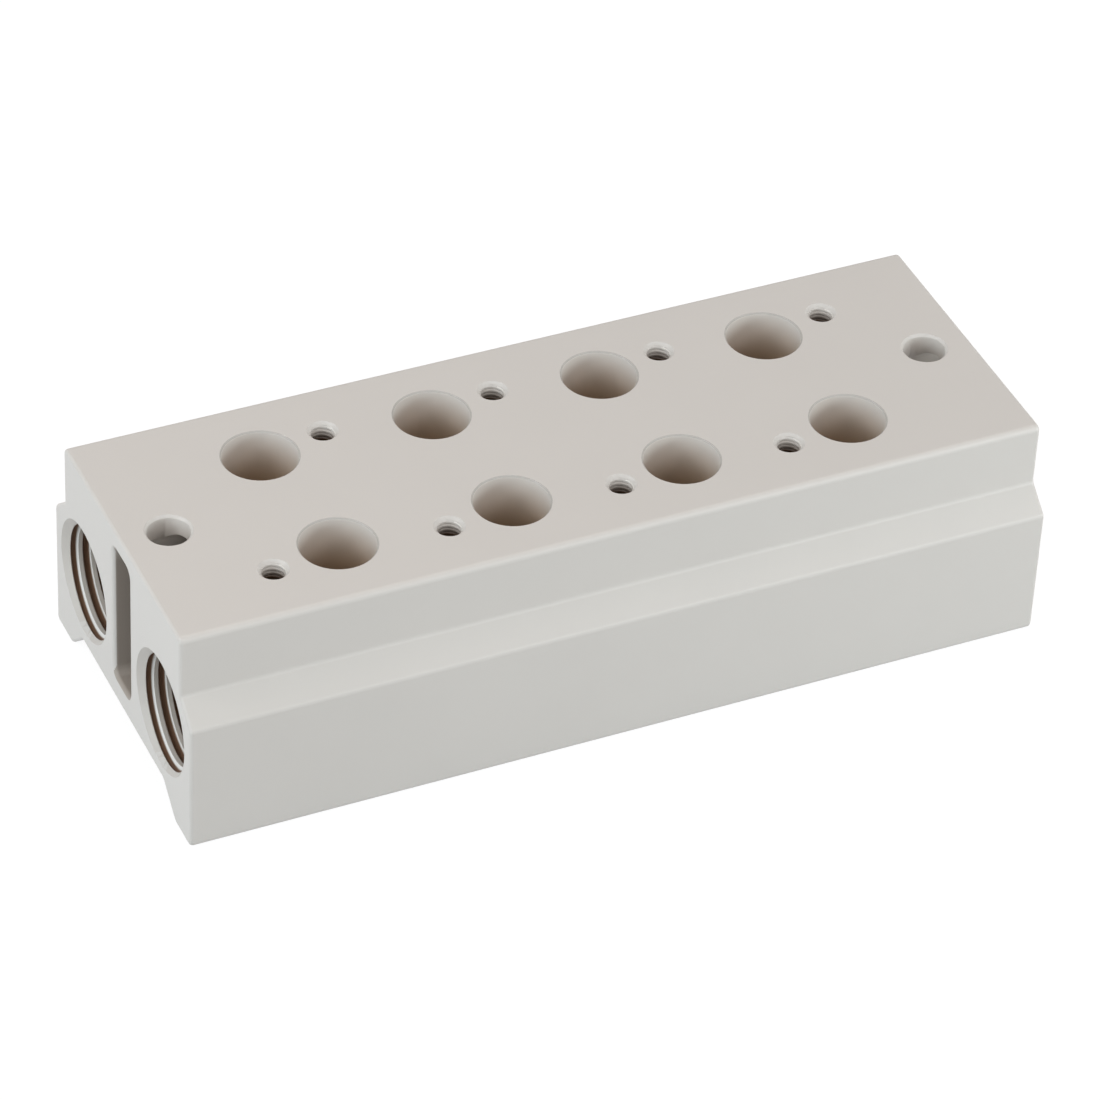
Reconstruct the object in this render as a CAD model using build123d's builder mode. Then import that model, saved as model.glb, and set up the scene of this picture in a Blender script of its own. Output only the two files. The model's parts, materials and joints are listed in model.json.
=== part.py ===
from build123d import *

import math
import os

# A valve manifold bar: one length of extruded aluminium, cut off, drilled, tapped and coated.
# Millimetres. +X runs along the bar, +Y to its back, and +Z up from the plane of its feet.
# The origin is the middle of that plane. Half a turn about +Z brings the bar onto itself.

# Stations: one valve sits on each
station_count = 4
station_pitch = 19.0
end_margin = 19.15  # from the last station's centre to the end face

# Outline of the extrusion
height = 24.9
top_width = 33.0
base_width = 38.8
shoulder_drop = 7.2  # from the top face to where the shoulder leaves the upper wall
shoulder_fall = 2.45  # height of the shoulder's slope
relief_mouth = 30.0  # width of the hollow between the feet, at their soles
relief_roof = 23.3  # its width at its roof
relief_height = 3.0
corner_round = 0.7  # every corner of the outline, inside and outside

# Core slot, which runs the whole length between the galleries
slot_width = 4.7
slot_web = 2.9  # wall between the relief and the slot
slot_roof_wall = 2.2
slot_round = 1.0
slot_mouth_round = 0.5  # where the slot opens in the end faces

# Galleries, which carry the air along the bar
gallery_diameter = 11.0
gallery_spacing = 22.0
gallery_height = 11.3

# Pipe ports in both ends of each gallery, at the tapping size of a 1/4 inch pipe thread
port_diameter = 11.9
port_mouth = 13.4
port_depth = 12.0

# Air bores from the top face into the galleries, two to a station
bore_diameter = 8.0
bore_mouth = 8.3
bore_spacing = 16.0  # across the bar
bore_stagger = 2.0  # along the bar

# Tapped holes for the valves' M3 screws, two to a station, at their tapping size
screw_diameter = 2.5
screw_mouth = 3.3
screw_depth = 5.5
screw_spacing = 19.0
screw_stagger = 13.0

# Through holes for the M4 screws that hold the bar down
mounting_diameter = 4.5
mounting_mouth = 5.0
mounting_margin = 5.15  # from the end face to the hole's centre

end_round = 0.4  # edges of the cut ends, after finishing
drill_point = 118.0  # degrees
overshoot = 1.0  # how far a cutting tool starts outside the metal

# Worked out from the above
length = (station_count - 1) * station_pitch + 2 * end_margin
shoulder_top = height - shoulder_drop
shoulder_foot = shoulder_top - shoulder_fall
slot_floor = relief_height + slot_web
slot_height = height - slot_roof_wall - slot_floor
mounting_spacing = length - 2 * mounting_margin
point_ratio = 1 / math.tan(math.radians(drill_point / 2))  # a drill's point to its radius


def drilled_hole(diameter, depth, mouth):
    """What a drill and a 45 degree countersink take out, downwards from the origin."""
    radius = diameter / 2
    rim = (mouth - diameter) / 2
    with BuildPart() as hole:
        with BuildSketch(Plane.XZ):
            with BuildLine():
                Polyline(
                    (0, overshoot),
                    (mouth / 2 + overshoot, overshoot),
                    (radius, -rim),
                    (radius, -depth),
                    (0, -depth - radius * point_ratio),
                    close=True,
                )
            make_face()
        revolve(axis=Axis.Z)
    return hole.part


# The points of the air bores reach the axes of the galleries
bore_depth = height - gallery_height - bore_diameter / 2 * point_ratio
air_bore = drilled_hole(bore_diameter, bore_depth, bore_mouth)
valve_screw_hole = drilled_hole(screw_diameter, screw_depth, screw_mouth)
mounting_hole = drilled_hole(mounting_diameter, height, mounting_mouth)
port = drilled_hole(port_diameter, port_depth, port_mouth)

top_face = Plane.XY.offset(height)
port_rows = (-gallery_spacing / 2, gallery_spacing / 2)
left_ports = [Plane((-length / 2, y, gallery_height), z_dir=(-1, 0, 0)) for y in port_rows]
right_ports = [Plane((length / 2, y, gallery_height), z_dir=(1, 0, 0)) for y in port_rows]

with BuildPart() as manifold_block:
    # The extruded bar, solid so far
    with BuildSketch(Plane.YZ):
        with BuildLine():
            back_half = Polyline(
                (0, relief_height),
                (relief_roof / 2, relief_height),
                (relief_mouth / 2, 0),
                (base_width / 2, 0),
                (base_width / 2, shoulder_foot),
                (top_width / 2, shoulder_top),
                (top_width / 2, height),
                (0, height),
            )
            mirror(back_half, about=Plane.YZ)
        outline = make_face()
        fillet(outline.vertices(), radius=corner_round)
    extrude(amount=length / 2, both=True)

    # The edges of both cut ends are taken off
    ends = manifold_block.faces().filter_by(Axis.X)
    fillet([edge for end in ends for edge in end.edges()], radius=end_round)

    # The core slot, with its mouths rounded
    with BuildSketch(Plane.YZ):
        with Locations((0, slot_floor + slot_height / 2)):
            RectangleRounded(slot_width, slot_height, slot_round)
    extrude(amount=length / 2, both=True, mode=Mode.SUBTRACT)
    ends = manifold_block.faces().filter_by(Axis.X)
    mouths = [wire for end in ends for wire in end.inner_wires()]
    fillet([edge for mouth in mouths for edge in mouth.edges()], radius=slot_mouth_round)

    # The two galleries
    with BuildSketch(Plane.YZ):
        with Locations((0, gallery_height)):
            with GridLocations(gallery_spacing, 0, 2, 1):
                Circle(gallery_diameter / 2)
    extrude(amount=length / 2, both=True, mode=Mode.SUBTRACT)

    # The pipe ports
    with Locations(*left_ports, *right_ports):
        add(port, mode=Mode.SUBTRACT)

    # The four holes of each station
    with Locations(top_face):
        with GridLocations(station_pitch, 0, station_count, 1):
            with Locations(
                (bore_stagger / 2, -bore_spacing / 2),
                (-bore_stagger / 2, bore_spacing / 2),
            ):
                add(air_bore, mode=Mode.SUBTRACT)
            with Locations(
                (-screw_stagger / 2, -screw_spacing / 2),
                (screw_stagger / 2, screw_spacing / 2),
            ):
                add(valve_screw_hole, mode=Mode.SUBTRACT)

        # The mounting holes, through the slot and out into the relief
        with GridLocations(mounting_spacing, 0, 2, 1):
            add(mounting_hole, mode=Mode.SUBTRACT)

manifold_block.part.label = "manifold_block"

os.makedirs("parts", exist_ok=True)
export_step(manifold_block.part, "parts/manifold_block.step")
print("length", length, "volume in cm3", round(manifold_block.part.volume / 1000, 2))
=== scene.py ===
# %% [markdown]
# # A valve manifold bar, step by step
#
# A manifold bar feeds air to a row of small valves that sit on its top face. The real one starts as a
# long aluminium extrusion. It is cut off, drilled from above and from both ends, tapped, and then coated
# off-white.
#
# The sizes of this bar are already fixed by its CAD solid, so the first step is to load that solid and to
# keep the box it fills. Everything that follows is placed from it.

# %% Load the bar's CAD solid
import json
import math

import bmesh
import bpy
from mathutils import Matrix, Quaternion, Vector


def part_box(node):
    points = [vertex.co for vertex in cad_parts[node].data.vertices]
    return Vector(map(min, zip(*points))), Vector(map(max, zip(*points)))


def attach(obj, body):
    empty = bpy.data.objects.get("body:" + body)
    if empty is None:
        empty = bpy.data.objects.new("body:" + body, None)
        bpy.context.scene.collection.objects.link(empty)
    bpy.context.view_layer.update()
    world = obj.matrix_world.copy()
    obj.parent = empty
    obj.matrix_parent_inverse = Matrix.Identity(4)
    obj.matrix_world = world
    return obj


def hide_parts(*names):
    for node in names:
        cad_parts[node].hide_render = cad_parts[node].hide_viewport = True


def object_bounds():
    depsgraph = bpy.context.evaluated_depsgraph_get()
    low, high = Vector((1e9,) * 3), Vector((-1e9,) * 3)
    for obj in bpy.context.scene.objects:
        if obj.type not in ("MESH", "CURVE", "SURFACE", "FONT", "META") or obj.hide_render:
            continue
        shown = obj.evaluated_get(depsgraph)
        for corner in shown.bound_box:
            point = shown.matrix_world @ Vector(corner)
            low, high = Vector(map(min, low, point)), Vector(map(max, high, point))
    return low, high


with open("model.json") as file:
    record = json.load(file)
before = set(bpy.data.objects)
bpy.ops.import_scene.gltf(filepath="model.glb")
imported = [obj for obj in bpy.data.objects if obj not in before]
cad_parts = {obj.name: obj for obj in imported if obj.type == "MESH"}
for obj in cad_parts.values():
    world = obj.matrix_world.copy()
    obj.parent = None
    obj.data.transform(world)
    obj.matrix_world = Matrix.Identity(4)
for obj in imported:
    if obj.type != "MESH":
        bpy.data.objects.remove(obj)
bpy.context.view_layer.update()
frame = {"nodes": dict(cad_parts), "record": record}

NODE = "manifold_block"
cad_block = frame["nodes"][NODE]
low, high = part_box(NODE)
print("CAD box in mm:", [round((b - a) * 1000, 2) for a, b in zip(low, high)])

# %% [markdown]
# ## The holes, read from the record
#
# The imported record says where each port, air bore and screw hole is, which way it opens and its radius.
# Reading them here saves a second list of places that could drift away from the solid. Two kinds of hole
# are tapped on the real bar: the four pipe ports in its ends, and the eight small holes for the valves'
# screws.
#
# A pair of screw holes is written down as its centre and the distance between the two holes. The pair
# lies askew, so that distance and its part across the bar also give the part along the bar.

# %% Sort the holes by what they are for
MM = 0.001
SCREW_SPACING = 19.0 * MM

mounts = frame["record"]["mounts"]


def named(ending):
    """The record's mounts whose names end in this word."""
    return [mount for mount in mounts if mount["name"].endswith(ending)]


ports = named("_port")
air_bores = named("_air_bore")
valve_screws = named("_valve_screws")
port_radius = ports[0]["dims"]["r_mm"] * MM
air_bore_radius = air_bores[0]["dims"]["r_mm"] * MM
screw_hole_radius = valve_screws[0]["dims"]["hole_r_mm"] * MM

screw_places = []
for pair in valve_screws:
    centre = Vector(pair["pos_m"])
    apart = pair["dims"]["pcd_mm"] * MM
    along = math.sqrt(apart**2 - SCREW_SPACING**2)
    for side in (-0.5, 0.5):
        screw_places.append(centre + side * Vector((along, SCREW_SPACING, 0)))
port_places = []
for port in ports:
    x, y, z = port["pos_m"]
    port_places.append(Vector((low.x if x < 0 else high.x, y, z)))
print(len(port_places), "ports,", len(air_bores), "air bores,", len(screw_places), "screw holes")

# %% [markdown]
# ## The camera
#
# A camera is easiest to describe in plain terms: which way it looks, how far down it looks, how much it
# leans, how far off it stands and how long its lens is. Here it stands to the front and left of the bar
# and looks down on it with a long lens, which keeps the far end of the bar nearly as large as the near
# end.
#
# Blender's cameras look along their own -Z. `to_track_quat` turns that axis onto a direction with no
# lean, and a small turn about it afterwards adds the lean.
#
# The picture is shown with the Standard view, which leaves colours as they are. Blender's usual view
# bends bright colours towards grey, as film does, and that would make an off-white bar look dull.

# %% Set up the camera
CAMERA_AZIMUTH = math.radians(-25.896)
CAMERA_ELEVATION = math.radians(38.99)
CAMERA_LEAN = math.radians(3.01)
CAMERA_DISTANCE = 570.29 * MM
CAMERA_LENS = 179.0
CAMERA_AIM = Vector((-0.256, -0.452, 10.325)) * MM


def direction_from(azimuth, elevation):
    """The unit vector that points from the bar towards a place at these angles; azimuth 0 is the front."""
    level = math.cos(elevation)
    return Vector((math.sin(azimuth) * level, -math.cos(azimuth) * level, math.sin(elevation)))


towards_camera = direction_from(CAMERA_AZIMUTH, CAMERA_ELEVATION)
camera = bpy.data.objects.new("studio_camera", bpy.data.cameras.new("studio_camera"))
camera.data.lens = CAMERA_LENS
camera.data.clip_start = 0.05
camera.data.clip_end = 20.0
camera.location = CAMERA_AIM + towards_camera * CAMERA_DISTANCE
camera.rotation_mode = "QUATERNION"
lean = Quaternion((0, 0, 1), CAMERA_LEAN)
camera.rotation_quaternion = (-towards_camera).to_track_quat("-Z", "Y") @ lean
bpy.context.scene.collection.objects.link(camera)
bpy.context.scene.camera = camera
bpy.context.scene.view_settings.view_transform = "Standard"
print("camera at", [round(v, 4) for v in camera.location])

# %% [markdown]
# ## The threads, cut as a tap cuts them
#
# On the real bar the pipe ports and the screw holes are tapped: a hardened screw with cutting edges is
# turned into a plain hole and leaves its own form behind. A thread could be faked with a bump texture,
# but here one looks straight into the ports and sees each groove catch the light, so the grooves have to
# be real shape.
#
# The workshop's own way works in Blender too: build the tap and subtract it. Its ridge has a cross
# section that is easy to write down: straight flanks at the thread's angle and a slightly rounded crest.
# The points below run over one pitch. Each is a distance along the axis and a radius.
#
# The screw holes' thread is cut shallower than a full M3 thread, whose crest radius is 1.5 mm. Its
# grooves show only faintly this way, as if the coating had partly filled them.

# %% Describe the two threads by their ridge
PIPE_THREAD = {
    "pitch": 1.337 * MM,
    "crest_radius": 6.5785 * MM,
    "half_angle": math.radians(27.5),
    "crest_flat": 0.22 * MM,
    "depth": 10.6 * MM,
    "run_out": 2.2 * MM,
    "steps": 72,
}
SCREW_THREAD = {
    "pitch": 0.5 * MM,
    "crest_radius": 1.37 * MM,
    "half_angle": math.radians(30),
    "crest_flat": 0.06 * MM,
    "depth": 4.9 * MM,
    "run_out": 0.6 * MM,
    "steps": 32,
}


CREST_ROUNDING = 0.4


def ridge_points(thread):
    """One pitch of the tap's ridge, from valley to valley, as (distance along the axis, radius)."""
    half_pitch = thread["pitch"] / 2
    half_flat = thread["crest_flat"] / 2
    crest = thread["crest_radius"]
    slope = math.tan(thread["half_angle"])
    valley = crest - (half_pitch - half_flat) / slope
    rounding = CREST_ROUNDING * thread["crest_flat"]
    shoulder = half_flat + rounding * slope
    return [
        (-half_pitch, valley),
        (-shoulder, crest - rounding),
        (-half_flat * 0.5, crest),
        (half_flat * 0.5, crest),
        (shoulder, crest - rounding),
    ]


for name, thread in (("pipe port", PIPE_THREAD), ("screw hole", SCREW_THREAD)):
    print(name, "ridge in mm:", [(round(x / MM, 3), round(r / MM, 3)) for x, r in ridge_points(thread)])

# %% [markdown]
# ## One strip that winds round the axis
#
# A thread is one ridge that never ends: after a full turn it has moved on by one pitch. So the tap is
# built as a single strip. Each step turns the cross section a little and moves it a little, and the last
# point of one turn is the first point of the next.
#
# At the tip the ridge sinks into the core, as on a real tap, which leaves the soft run-out at the bottom
# of the hole. Beyond the tip and above the mouth all points are held back to a flat end, where they fall
# together and are welded. That leaves two plain circles, which one face each can close.

# %% Wind the ridge into a tap
LEAD = 1.2 * MM
WELD = 0.0002 * MM
CORE_CLEARANCE = 0.06
SPARE_TURNS = 3
PORT_START = math.radians(-24)
SCREW_START = 0.0
UPWARD = Vector((0, 0, 1))


def add_tap(taps, place, outward, side, thread, wall_radius, start_angle):
    """Adds a closed tap to the bmesh taps. It stands in the hole whose mouth is at place.

    The start angle is counted from side, and it sets where the groove comes out at the mouth.
    """
    pitch, depth, steps = thread["pitch"], thread["depth"], thread["steps"]
    points = ridge_points(thread)
    core_radius = wall_radius - CORE_CLEARANCE * thread["crest_radius"]
    across = outward.cross(side)
    turns = math.ceil((depth + LEAD) / pitch) + SPARE_TURNS
    rows = []
    for step in range(turns * steps + 1):
        angle = start_angle + 2 * math.pi * (step % steps) / steps
        spoke = side * math.cos(angle) + across * math.sin(angle)
        row = []
        for offset, ridge_radius in points:
            x = pitch * step / steps + offset - depth - pitch
            risen = min(1.0, max(0.0, (x + depth) / thread["run_out"]))
            radius = core_radius + max(0.0, ridge_radius - core_radius) * risen
            if x >= LEAD:
                radius = core_radius
            x = min(LEAD, max(-depth, x))
            row.append(taps.verts.new(place + outward * x + spoke * radius))
        rows.append(row)
    for step in range((turns - 1) * steps):
        row, next_row = rows[step], rows[step + 1]
        row = row + [rows[step + steps][0]]
        next_row = next_row + [rows[step + steps + 1][0]]
        for j in range(len(points)):
            taps.faces.new((row[j], next_row[j], next_row[j + 1], row[j + 1]))


taps = bmesh.new()
for place in port_places:
    sign = math.copysign(1, place.x)
    outward = Vector((sign, 0, 0))
    side = Vector((0, -sign, 0))
    add_tap(taps, place, outward, side, PIPE_THREAD, port_radius, PORT_START)
side = Vector((1, 0, 0))
for place in screw_places:
    add_tap(taps, place, UPWARD, side, SCREW_THREAD, screw_hole_radius, SCREW_START)
bmesh.ops.remove_doubles(taps, verts=taps.verts[:], dist=WELD)
loose = [vertex for vertex in taps.verts if not vertex.link_faces]
bmesh.ops.delete(taps, geom=loose, context="VERTS")
open_edges = [edge for edge in taps.edges if edge.is_boundary]
bmesh.ops.holes_fill(taps, edges=open_edges, sides=0)
bmesh.ops.recalc_face_normals(taps, faces=taps.faces[:])
still_open = sum(not edge.is_manifold for edge in taps.edges)
print(len(taps.faces), "faces on the taps,", still_open, "edges still open")

# %% [markdown]
# ## Tapping the bar
#
# A Boolean modifier subtracts the taps from a copy of the CAD solid. The copy has to be a closed skin
# first: a file made for display often splits its corners, so that each face can have its own shading, and
# welding the corners undoes that. The faces that the taps leave behind bring their material with them,
# and so the grooves can have a material of their own, whose colours paint their light and shade.

# %% Copy the solid and subtract the taps
def new_mesh_object(name, bm):
    """An object that holds the bmesh bm, which is freed."""
    mesh = bpy.data.meshes.new(name)
    bm.to_mesh(mesh)
    bm.free()
    made = bpy.data.objects.new(name, mesh)
    bpy.context.scene.collection.objects.link(made)
    return made


def baked(thing):
    """The thing's mesh with its modifiers applied."""
    bpy.context.view_layer.update()
    shaped = thing.evaluated_get(bpy.context.evaluated_depsgraph_get())
    return bpy.data.meshes.new_from_object(shaped)


coating = bpy.data.materials.new("satin_coating")
thread_light_and_shade = bpy.data.materials.new("thread_grooves")

tap_set = new_mesh_object("tap_set", taps)
tap_set.data.materials.append(thread_light_and_shade)
skin = bmesh.new()
skin.from_mesh(cad_block.data)
bmesh.ops.remove_doubles(skin, verts=skin.verts[:], dist=WELD)
for face in skin.faces:
    face.material_index = 0
bar = new_mesh_object("manifold_bar", skin)
bar.data.materials.clear()
bar.data.materials.append(coating)
cut = bar.modifiers.new("tapping", "BOOLEAN")
cut.operation = "DIFFERENCE"
cut.solver = "EXACT"
cut.material_mode = "TRANSFER"
cut.object = tap_set
tapped = baked(bar)
bar.modifiers.clear()
bar.data = tapped
bpy.data.objects.remove(tap_set)
print("the tapped bar has", len(bar.data.polygons), "faces and", len(bar.data.materials), "materials")

# %% [markdown]
# ## Round faces smooth, flat faces flat
#
# The mesh is made of small flat faces, but on the real bar the holes are round and the sides are flat.
# Shading each edge smooth up to a set angle, and sharp above it, gives both. The edge where a tap left
# the bar's own surface is always sharp. Where a small rounded corner runs into a large flat side, plain
# smooth shading would bend the light on the flat side too, so a Weighted Normal modifier lets the larger
# face decide.

# %% Shade the bar
SMOOTH_UP_TO = math.radians(32)
BY_FACE_AREA = 50

shading = bmesh.new()
shading.from_mesh(bar.data)
for face in shading.faces:
    face.smooth = True
for edge in shading.edges:
    same_cut = len({face.material_index for face in edge.link_faces}) == 1
    edge.smooth = same_cut and edge.calc_face_angle(math.pi) < SMOOTH_UP_TO
shading.to_mesh(bar.data)
shading.free()
weighted = bar.modifiers.new("flat_sides", "WEIGHTED_NORMAL")
weighted.keep_sharp = True
weighted.weight = BY_FACE_AREA
print(sum(edge.use_edge_sharp for edge in bar.data.edges), "sharp edges")

# %% [markdown]
# ## Which face belongs to which cut
#
# The coating sits on the outside. The walls inside the air bores, the long slot and the screw holes get
# materials of their own, whose colours paint the shade in them. A face is sorted by where its centre lies:
# inside the radius of a hole, or between the slot's walls. The order of the questions matters, because
# the slot, the galleries and the bores cross each other.
#
# The chamfers at the top belong to the coated outside, but the air bores' rims get a material of their
# own, painted darker than the coating as shade. A port's chamfer belongs to the port and not to the end
# face, so the port's radius is taken at its mouth.

# %% Sort the faces by cut
SLOT_HALF_WIDTH = 2.35 * MM
PORT_MOUTH_RADIUS = 6.7 * MM
GALLERY_RADIUS = 5.5 * MM
SKIN = 0.02 * MM
RELIEF_TOP = 5 * MM
SCREW_HOLE_BOTTOM = 15 * MM
CHAMFER_DEPTH = 0.45 * MM
CHAMFER_SLOPE = 0.3
SCREW_HOLE_REACH = screw_hole_radius + 0.45 * MM
AIR_BORE_REACH = air_bore_radius + 0.2 * MM
COAT, GROOVE, BORE, SLOT, SCREW, PORT, RIM = range(7)

bore_wall_shade = bpy.data.materials.new("air_bore_walls")
slot_wall_shade = bpy.data.materials.new("core_slot_walls")
screw_wall_shade = bpy.data.materials.new("screw_hole_walls")
port_wall_shade = bpy.data.materials.new("port_walls")
rim_shade = bpy.data.materials.new("air_bore_rims")
for shaded_wall_material in (bore_wall_shade, slot_wall_shade, screw_wall_shade, port_wall_shade, rim_shade):
    bar.data.materials.append(shaded_wall_material)


def near_upright(point, places, reach):
    """True if the point lies within reach of one of the upright axes through places."""
    return any(math.hypot(point.x - p.x, point.y - p.y) < reach for p in places)


def near_gallery(point, reach):
    """True if the point lies within reach of the axis of one of the two galleries."""
    return any(math.hypot(point.y - p.y, point.z - p.z) < reach for p in port_places)


air_bore_places = [Vector(bore["pos_m"]) for bore in air_bores]
counts = [0] * len(bar.data.materials)
for face in bar.data.polygons:
    centre = face.center
    at_end = min(centre.x - low.x, high.x - centre.x) < SKIN
    at_top = high.z - centre.z < SKIN
    on_chamfer = high.z - centre.z < CHAMFER_DEPTH and face.normal.z > CHAMFER_SLOPE
    at_air_bore = near_upright(centre, air_bore_places, AIR_BORE_REACH)
    at_screw_hole = near_upright(centre, screw_places, SCREW_HOLE_REACH)
    above_relief = centre.z > RELIEF_TOP
    if at_end or at_top:
        face.material_index = COAT
    elif on_chamfer:
        face.material_index = RIM if at_air_bore else COAT
    elif at_screw_hole and centre.z > SCREW_HOLE_BOTTOM:
        face.material_index = SCREW
    elif face.material_index == GROOVE:
        pass
    elif above_relief and abs(centre.y) <= SLOT_HALF_WIDTH + SKIN:
        face.material_index = SLOT
    elif near_gallery(centre, GALLERY_RADIUS + SKIN):
        face.material_index = PORT
    elif above_relief and at_air_bore:
        face.material_index = BORE
    elif above_relief and near_gallery(centre, PORT_MOUTH_RADIUS + SKIN):
        face.material_index = PORT
    counts[face.material_index] += 1
print("faces by finish:", counts)

# %% [markdown]
# ## The coating
#
# The bar is coated in a satin off-white that is a little warm. Seen close, such a coating isn't quite
# even: it has a fine grain, like the skin of an egg, and its colour drifts by a percent or so. Two noise
# textures give both, and they sit in a node group, because the walls of the holes have the same skin.

# %% Build the coating's grain as a node group
GRAINS_PER_METRE = 2600
CLOUDS_PER_METRE = 90


def add_socket(group, name, in_out, kind, value=None):
    """One named input or output of a node group."""
    socket = group.interface.new_socket(name=name, in_out=in_out, socket_type=kind)
    if value is not None:
        socket.default_value = value
    return socket


def add_node(tree, kind, **settings):
    """A node of that kind, with its settings."""
    node = tree.nodes.new(kind)
    for key, value in settings.items():
        setattr(node, key, value)
    return node


def add_math(tree, operation, first, second, clamp=False):
    """A Math node; first and second are sockets or numbers."""
    node = add_node(tree, "ShaderNodeMath", operation=operation, use_clamp=clamp)
    for socket, value in zip(node.inputs, (first, second)):
        if isinstance(value, (int, float)):
            socket.default_value = value
        else:
            tree.links.new(value, socket)
    return node.outputs["Value"]


grain_group = bpy.data.node_groups.new("coating_grain", "ShaderNodeTree")
add_socket(grain_group, "Vector", "INPUT", "NodeSocketVector")
add_socket(grain_group, "Colour", "INPUT", "NodeSocketColor", (0.8, 0.8, 0.8, 1))
add_socket(grain_group, "Drift", "INPUT", "NodeSocketFloat", 0.02)
add_socket(grain_group, "Colour", "OUTPUT", "NodeSocketColor")
add_socket(grain_group, "Height", "OUTPUT", "NodeSocketFloat")
group_in = add_node(grain_group, "NodeGroupInput")
group_out = add_node(grain_group, "NodeGroupOutput")
fine = add_node(grain_group, "ShaderNodeTexNoise")
fine.inputs["Scale"].default_value = GRAINS_PER_METRE
fine.inputs["Detail"].default_value = 2
grain_group.links.new(group_in.outputs["Vector"], fine.inputs["Vector"])
broad = add_node(grain_group, "ShaderNodeTexNoise")
broad.inputs["Scale"].default_value = CLOUDS_PER_METRE
broad.inputs["Detail"].default_value = 3
grain_group.links.new(group_in.outputs["Vector"], broad.inputs["Vector"])
swing = add_math(grain_group, "SUBTRACT", broad.outputs["Fac"], 0.5)
swing = add_math(grain_group, "MULTIPLY", swing, group_in.outputs["Drift"])
tone = add_math(grain_group, "ADD", swing, 1.0)
tinted = add_node(grain_group, "ShaderNodeVectorMath", operation="SCALE")
grain_group.links.new(group_in.outputs["Colour"], tinted.inputs[0])
grain_group.links.new(tone, tinted.inputs["Scale"])
grain_group.links.new(tinted.outputs["Vector"], group_out.inputs["Colour"])
grain_group.links.new(fine.outputs["Fac"], group_out.inputs["Height"])
print("group", grain_group.name, "has", len(grain_group.nodes), "nodes")

# %% [markdown]
# ## The coating's colour and gloss
#
# A Principled BSDF describes nearly every solid surface. Here it needs just three things: the colour, a
# roughness that blurs reflections to a satin sheen, and the grain's height, which a Bump node turns into
# tiny slopes. The colour is written as linear light, so 0.62 looks like a light grey and not like a
# middle one.

# %% Give the coating its colour, gloss and grain
COATING_COLOUR = (0.62, 0.585, 0.55)
COATING_ROUGHNESS = 0.35
COATING_DRIFT = 0.04
GRAIN_HEIGHT = 0.02 * MM
GRAIN_STRENGTH = 0.3


def start_finish(material, roughness):
    """Empties a material down to a Principled BSDF and returns (tree, shader, coordinates)."""
    material.use_nodes = True
    tree = material.node_tree
    shader = tree.nodes["Principled BSDF"]
    shader.inputs["Roughness"].default_value = roughness
    coordinates = add_node(tree, "ShaderNodeTexCoord").outputs["Object"]
    return tree, shader, coordinates


def add_grain(tree, shader, coordinates, colour, drift):
    """Lays the coating's grain over a colour, which is three numbers or a socket."""
    grain = add_node(tree, "ShaderNodeGroup", node_tree=grain_group)
    tree.links.new(coordinates, grain.inputs["Vector"])
    if isinstance(colour, tuple):
        grain.inputs["Colour"].default_value = (*colour, 1)
    else:
        tree.links.new(colour, grain.inputs["Colour"])
    grain.inputs["Drift"].default_value = drift
    tree.links.new(grain.outputs["Colour"], shader.inputs["Base Color"])
    relief = add_node(tree, "ShaderNodeBump")
    relief.inputs["Strength"].default_value = GRAIN_STRENGTH
    relief.inputs["Distance"].default_value = GRAIN_HEIGHT
    tree.links.new(grain.outputs["Height"], relief.inputs["Height"])
    tree.links.new(relief.outputs["Normal"], shader.inputs["Normal"])


tree, shader, coordinates = start_finish(coating, COATING_ROUGHNESS)
add_grain(tree, shader, coordinates, COATING_COLOUR, COATING_DRIFT)
print("coating colour", COATING_COLOUR)

# %% [markdown]
# ## The walls of the holes
#
# Less light reaches deep into the holes, and the walls' colours paint that shade: they start pale at the
# mouth and turn darker and browner with depth. One node group measures the depth. It drops the part of
# the position that doesn't matter, counts from the face where the hole starts, and gives 0 at the mouth
# and 1 at the full depth.

# %% Build the depth mask as a node group
depth_group = bpy.data.node_groups.new("depth_in_hole", "ShaderNodeTree")
add_socket(depth_group, "Vector", "INPUT", "NodeSocketVector")
add_socket(depth_group, "Way In", "INPUT", "NodeSocketVector", (0, 0, 1))
add_socket(depth_group, "Face", "INPUT", "NodeSocketFloat", 0.0)
add_socket(depth_group, "Reach", "INPUT", "NodeSocketFloat", 0.01)
add_socket(depth_group, "Depth", "OUTPUT", "NodeSocketFloat")
group_in = add_node(depth_group, "NodeGroupInput")
group_out = add_node(depth_group, "NodeGroupOutput")
both_ways = add_node(depth_group, "ShaderNodeVectorMath", operation="ABSOLUTE")
depth_group.links.new(group_in.outputs["Vector"], both_ways.inputs[0])
height = add_node(depth_group, "ShaderNodeVectorMath", operation="DOT_PRODUCT")
depth_group.links.new(both_ways.outputs["Vector"], height.inputs[0])
depth_group.links.new(group_in.outputs["Way In"], height.inputs[1])
below = add_math(depth_group, "SUBTRACT", group_in.outputs["Face"], height.outputs["Value"])
share = add_math(depth_group, "DIVIDE", below, group_in.outputs["Reach"], clamp=True)
depth_group.links.new(share, group_out.inputs["Depth"])
print("group", depth_group.name, "has", len(depth_group.nodes), "nodes")
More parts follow.
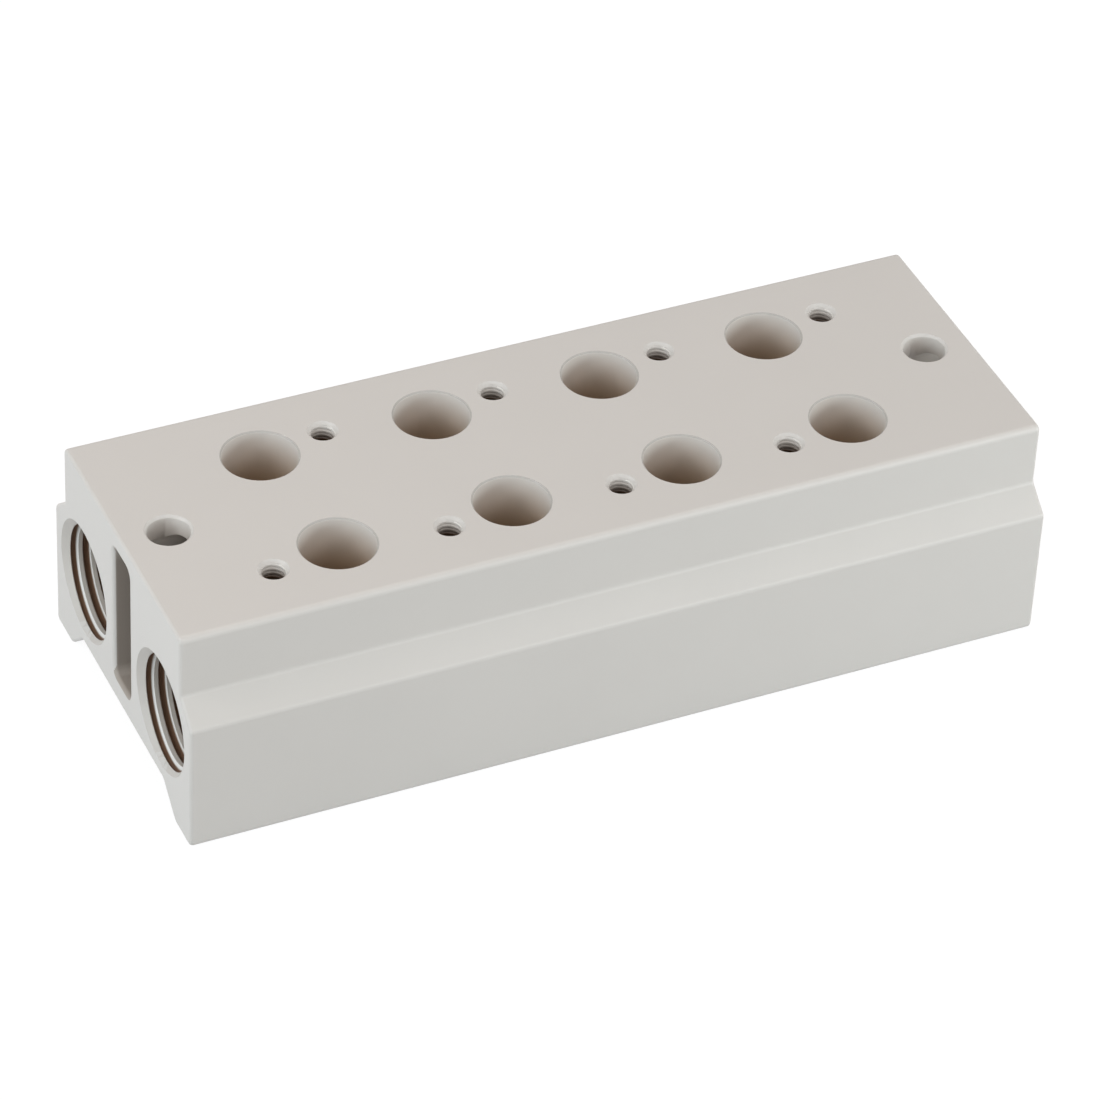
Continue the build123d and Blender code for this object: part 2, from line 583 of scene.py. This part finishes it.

# %% [markdown]
# ## Painted shade in the grooves
#
# The bottom of each groove lies in shade, and that shade is painted dark brown while the lands between
# them stay pale. Colour can follow the shape here, because a groove's bottom lies further from the port's
# axis than its land does. This second group measures that distance. The bar is the same on both sides, so
# the sign of Y can be dropped and one axis serves both ports of an end.

# %% Build the groove mask as a node group
groove_group = bpy.data.node_groups.new("depth_in_groove", "ShaderNodeTree")
add_socket(groove_group, "Vector", "INPUT", "NodeSocketVector")
add_socket(groove_group, "Axis Across", "INPUT", "NodeSocketFloat", 0.0)
add_socket(groove_group, "Axis Height", "INPUT", "NodeSocketFloat", 0.0)
add_socket(groove_group, "Unshaded Radius", "INPUT", "NodeSocketFloat", 0.0)
add_socket(groove_group, "Root Radius", "INPUT", "NodeSocketFloat", 1.0)
add_socket(groove_group, "Depth", "OUTPUT", "NodeSocketFloat")
group_in = add_node(groove_group, "NodeGroupInput")
group_out = add_node(groove_group, "NodeGroupOutput")
parts = add_node(groove_group, "ShaderNodeSeparateXYZ")
groove_group.links.new(group_in.outputs["Vector"], parts.inputs["Vector"])
across = add_math(groove_group, "ABSOLUTE", parts.outputs["Y"], 0.0)
across = add_math(groove_group, "SUBTRACT", across, group_in.outputs["Axis Across"])
upward = add_math(groove_group, "SUBTRACT", parts.outputs["Z"], group_in.outputs["Axis Height"])
squares = add_math(groove_group, "MULTIPLY", across, across)
more = add_math(groove_group, "MULTIPLY", upward, upward)
radius = add_math(groove_group, "SQRT", add_math(groove_group, "ADD", squares, more), 0.0)
past = add_math(groove_group, "SUBTRACT", radius, group_in.outputs["Unshaded Radius"])
span = add_math(
    groove_group, "SUBTRACT", group_in.outputs["Root Radius"], group_in.outputs["Unshaded Radius"]
)
share = add_math(groove_group, "DIVIDE", past, span, clamp=True)
groove_group.links.new(share, group_out.inputs["Depth"])
print("group", groove_group.name, "has", len(groove_group.nodes), "nodes")

# %% [markdown]
# ## Painting the shade into each kind of hole
#
# Now each wall gets its own pair of colours: one at the mouth and a painted shade in the depth. The long
# slot and the air bores fade slowly. The small screw holes are pale at the mouth and turn dark within four
# turns of their thread.

# %% Paint the shade into the walls of the bores, the slot and the screw holes
def mixed(tree, factor, first, second):
    """A colour between first and second, which are three numbers or a socket each."""
    blend = add_node(tree, "ShaderNodeMix", data_type="RGBA")
    tree.links.new(factor, blend.inputs["Factor"])
    for name, colour in (("A", first), ("B", second)):
        if isinstance(colour, tuple):
            blend.inputs[name].default_value = (*colour, 1)
        else:
            tree.links.new(colour, blend.inputs[name])
    return blend.outputs["Result"]


def add_depth(tree, coordinates, way_in, face, reach):
    """The depth mask, counted from the face along way_in."""
    depth = add_node(tree, "ShaderNodeGroup", node_tree=depth_group)
    tree.links.new(coordinates, depth.inputs["Vector"])
    depth.inputs["Way In"].default_value = way_in
    depth.inputs["Face"].default_value = face
    depth.inputs["Reach"].default_value = reach
    return depth.outputs["Depth"]


def shade_wall_by_depth(material, way_in, face, reach, mouth_colour, deep_shade):
    """A wall painted from mouth_colour at the mouth to the painted shade of the deep colour over reach,
    counted from the face.
    """
    tree, shader, coordinates = start_finish(material, WALL_ROUGHNESS)
    depth = add_depth(tree, coordinates, way_in, face, reach)
    add_grain(tree, shader, coordinates, mixed(tree, depth, mouth_colour, deep_shade), WALL_DRIFT)


WALL_ROUGHNESS = 0.4
WALL_DRIFT = 0.08
UP = (0, 0, 1)
# The mouth colour is pale, and each deep colour paints the shade deep in its kind of hole.
WALL_MOUTH = (0.76, 0.715, 0.67)
BORE_DEEP_SHADE = (0.42, 0.28, 0.17)
SLOT_DEEP_SHADE = (0.36, 0.31, 0.27)
SCREW_DEEP_SHADE = (0.09, 0.045, 0.02)
RIM_SHADE_COLOUR = (0.45, 0.42, 0.39)
shade_wall_by_depth(bore_wall_shade, UP, high.z, 7 * MM, WALL_MOUTH, BORE_DEEP_SHADE)
shade_wall_by_depth(slot_wall_shade, UP, high.z, 4.5 * MM, WALL_MOUTH, SLOT_DEEP_SHADE)
shade_wall_by_depth(screw_wall_shade, UP, high.z - 0.6 * MM, 1.3 * MM, WALL_MOUTH, SCREW_DEEP_SHADE)
# The air bores' rims are painted darker than the coating: painted shade.
tree, shader, coordinates = start_finish(rim_shade, WALL_ROUGHNESS)
add_grain(tree, shader, coordinates, RIM_SHADE_COLOUR, COATING_DRIFT)
print("finished the walls that are seen from above")

# %% [markdown]
# ## Painting the light and shade of the ports
#
# The ports are entered from the ends, so their depth counts along the bar. The lands between the grooves
# are painted the palest faces of all, a painted light, and darken with depth as painted shade. The painted
# shade stands higher in the grooves further in, so the mask's unshaded radius shrinks with depth. A value
# can be linked into a group like any other socket.

# %% Paint the light and shade of the ports and their threads
ALONG = (1, 0, 0)
PORT_FADE = 10 * MM
# The port walls start darker than the coating and turn browner with depth: painted shade.
PORT_MOUTH = (0.57, 0.53, 0.49)
PORT_DEEP_SHADE = (0.55, 0.48, 0.41)
# The lands' colour at the mouth is paler than the coating: painted light.
LAND_MOUTH_PAINTED_LIGHT = (0.85, 0.83, 0.80)
# This brown paints the shade at the bottom of the grooves, which reaches higher further in.
GROOVE_SHADE_BROWN = (0.18, 0.10, 0.06)
SHADE_RADIUS_AT_MOUTH = 6.28 * MM
SHADE_RADIUS_LOSS = 0.8 * MM
SHADE_EDGE = 0.15 * MM
shade_wall_by_depth(port_wall_shade, ALONG, high.x, PORT_FADE, PORT_MOUTH, PORT_DEEP_SHADE)

tree, shader, coordinates = start_finish(thread_light_and_shade, WALL_ROUGHNESS)
depth = add_depth(tree, coordinates, ALONG, high.x, PORT_FADE)
# The lands are painted light at the mouth and painted shade with depth.
land_light_and_shade = mixed(tree, depth, LAND_MOUTH_PAINTED_LIGHT, PORT_DEEP_SHADE)
groove = add_node(tree, "ShaderNodeGroup", node_tree=groove_group)
tree.links.new(coordinates, groove.inputs["Vector"])
groove.inputs["Axis Across"].default_value = abs(port_places[0].y)
groove.inputs["Axis Height"].default_value = port_places[0].z
lowered = add_math(tree, "MULTIPLY", depth, SHADE_RADIUS_LOSS)
unshaded_radius = add_math(tree, "SUBTRACT", SHADE_RADIUS_AT_MOUTH, lowered)
tree.links.new(unshaded_radius, groove.inputs["Unshaded Radius"])
root_radius = add_math(tree, "ADD", unshaded_radius, SHADE_EDGE)
tree.links.new(root_radius, groove.inputs["Root Radius"])
# Painted shade: the bottoms of the grooves turn dark brown.
groove_shaded = mixed(tree, groove.outputs["Depth"], land_light_and_shade, GROOVE_SHADE_BROWN)
add_grain(tree, shader, coordinates, groove_shaded, WALL_DRIFT)
print("finished", [material.name for material in bar.data.materials])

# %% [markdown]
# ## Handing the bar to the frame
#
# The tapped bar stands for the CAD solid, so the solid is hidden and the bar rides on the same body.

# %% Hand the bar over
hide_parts(NODE)
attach(bar, "root")
bar_low, bar_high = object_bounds()
print("bar in mm:", [round((b - a) / MM, 2) for a, b in zip(bar_low, bar_high)])

# %% [markdown]
# ## The floor and the white around it
#
# The bar stands on a plain pale floor in front of plain white. A floor lit brightly enough to look white
# would also burn out the bar, so the floor gives off most of its white by itself, but only to rays that
# come from the camera or from a mirror. Light Path tells those rays from the ones that carry light to the
# bar. A share of the floor stays a normal painted surface, and the bar's soft shadow shows on that share.

# %% Lay the floor and set the world
FLOOR_REACH = 4.0
FLOOR_GREY = (0.5, 0.5, 0.5, 1)
SHADOW_GREY = (0.12, 0.12, 0.12, 1)
FLOOR_GLOW = 0.93
WORLD_LIGHT = 0.40


def seen_directly(tree):
    """A socket that is 1 for rays from the camera, from a mirror or through glass, and 0 for the others."""
    path = add_node(tree, "ShaderNodeLightPath")
    seen = add_math(tree, "ADD", path.outputs["Is Camera Ray"], path.outputs["Is Glossy Ray"])
    return add_math(tree, "ADD", seen, path.outputs["Is Transmission Ray"], clamp=True)


floor_skin = bmesh.new()
bmesh.ops.create_grid(floor_skin, x_segments=1, y_segments=1, size=FLOOR_REACH)
floor = new_mesh_object("floor", floor_skin)
floor_paint = bpy.data.materials.new("floor_paint")
floor.data.materials.append(floor_paint)
floor_paint.use_nodes = True
tree = floor_paint.node_tree
painted = tree.nodes["Principled BSDF"]
painted.inputs["Base Color"].default_value = FLOOR_GREY
painted.inputs["Roughness"].default_value = 0.9
painted.inputs["Specular IOR Level"].default_value = 0.0
shadow_share = add_node(tree, "ShaderNodeBsdfDiffuse")
shadow_share.inputs["Color"].default_value = SHADOW_GREY
glow = add_node(tree, "ShaderNodeEmission")
glow.inputs["Strength"].default_value = FLOOR_GLOW
white_floor = add_node(tree, "ShaderNodeAddShader")
tree.links.new(shadow_share.outputs["BSDF"], white_floor.inputs[0])
tree.links.new(glow.outputs["Emission"], white_floor.inputs[1])
choice = add_node(tree, "ShaderNodeMixShader")
tree.links.new(seen_directly(tree), choice.inputs["Fac"])
tree.links.new(painted.outputs["BSDF"], choice.inputs[1])
tree.links.new(white_floor.outputs["Shader"], choice.inputs[2])
tree.links.new(choice.outputs["Shader"], tree.nodes["Material Output"].inputs["Surface"])

world = bpy.data.worlds.new("plain_studio")
bpy.context.scene.world = world
world.use_nodes = True
tree = world.node_tree
ambient = tree.nodes["Background"]
ambient.inputs["Color"].default_value = (1, 1, 1, 1)
ambient.inputs["Strength"].default_value = WORLD_LIGHT
white = add_node(tree, "ShaderNodeBackground")
white.inputs["Strength"].default_value = 1.0
choice = add_node(tree, "ShaderNodeMixShader")
tree.links.new(seen_directly(tree), choice.inputs["Fac"])
tree.links.new(ambient.outputs["Background"], choice.inputs[1])
tree.links.new(white.outputs["Background"], choice.inputs[2])
tree.links.new(choice.outputs["Shader"], tree.nodes["World Output"].inputs["Surface"])
print("world light", WORLD_LIGHT)

# %% [markdown]
# ## The lamps
#
# In a studio, small products often stand between large soft boxes, which give wide, soft highlights and
# hardly any shadow. A few area lamps stand in for them. Each one is placed by its angles, like the
# camera, and turned to face the bar.
#
# The low box on the left lights the end face. Seen from the far end, it would also lie mirrored in the
# top face as a white glare, so its reflection is switched off and only its soft light is kept. The low
# box on the right keeps its reflection, and a camera behind the bar sees it in the top face.

# %% Hang the soft boxes
def soft_box(name, azimuth, elevation, distance, size, power, colour):
    """A square area lamp that faces the bar."""
    lamp = bpy.data.lights.new(name, "AREA")
    lamp.shape = "SQUARE"
    lamp.size = size
    lamp.energy = power
    lamp.color = colour
    held = bpy.data.objects.new(name, lamp)
    way = direction_from(math.radians(azimuth), math.radians(elevation))
    held.location = way * distance
    held.rotation_mode = "QUATERNION"
    held.rotation_quaternion = (-way).to_track_quat("-Z", "Y")
    held.visible_camera = False
    bpy.context.scene.collection.objects.link(held)
    return held


# A row holds the name, azimuth and elevation in degrees, distance and side in metres, watts, and colour.
SOFT_BOXES = (
    ("left_high_box", -40, 48, 1.2, 1.0, 2.55, (0.94, 1.0, 1.0)),
    ("left_low_box", -75, 15, 1.0, 0.6, 3.9, (0.74, 0.90, 1.0)),
    ("left_end_box", -95, 40, 0.35, 0.15, 0.21, (1.0, 0.98, 0.96)),
    ("front_box", 28, 32, 1.2, 0.35, 2.0, (1.0, 1.0, 1.0)),
    ("right_low_box", 55, 12, 0.35, 0.12, 0.50, (0.87, 0.97, 1.0)),
    ("back_box", 150, 65, 1.0, 0.6, 1.46, (1.0, 0.81, 0.71)),
)
soft_boxes = {row[0]: soft_box(*row) for row in SOFT_BOXES}
soft_boxes["left_low_box"].visible_glossy = False
print(len(soft_boxes), "soft boxes")
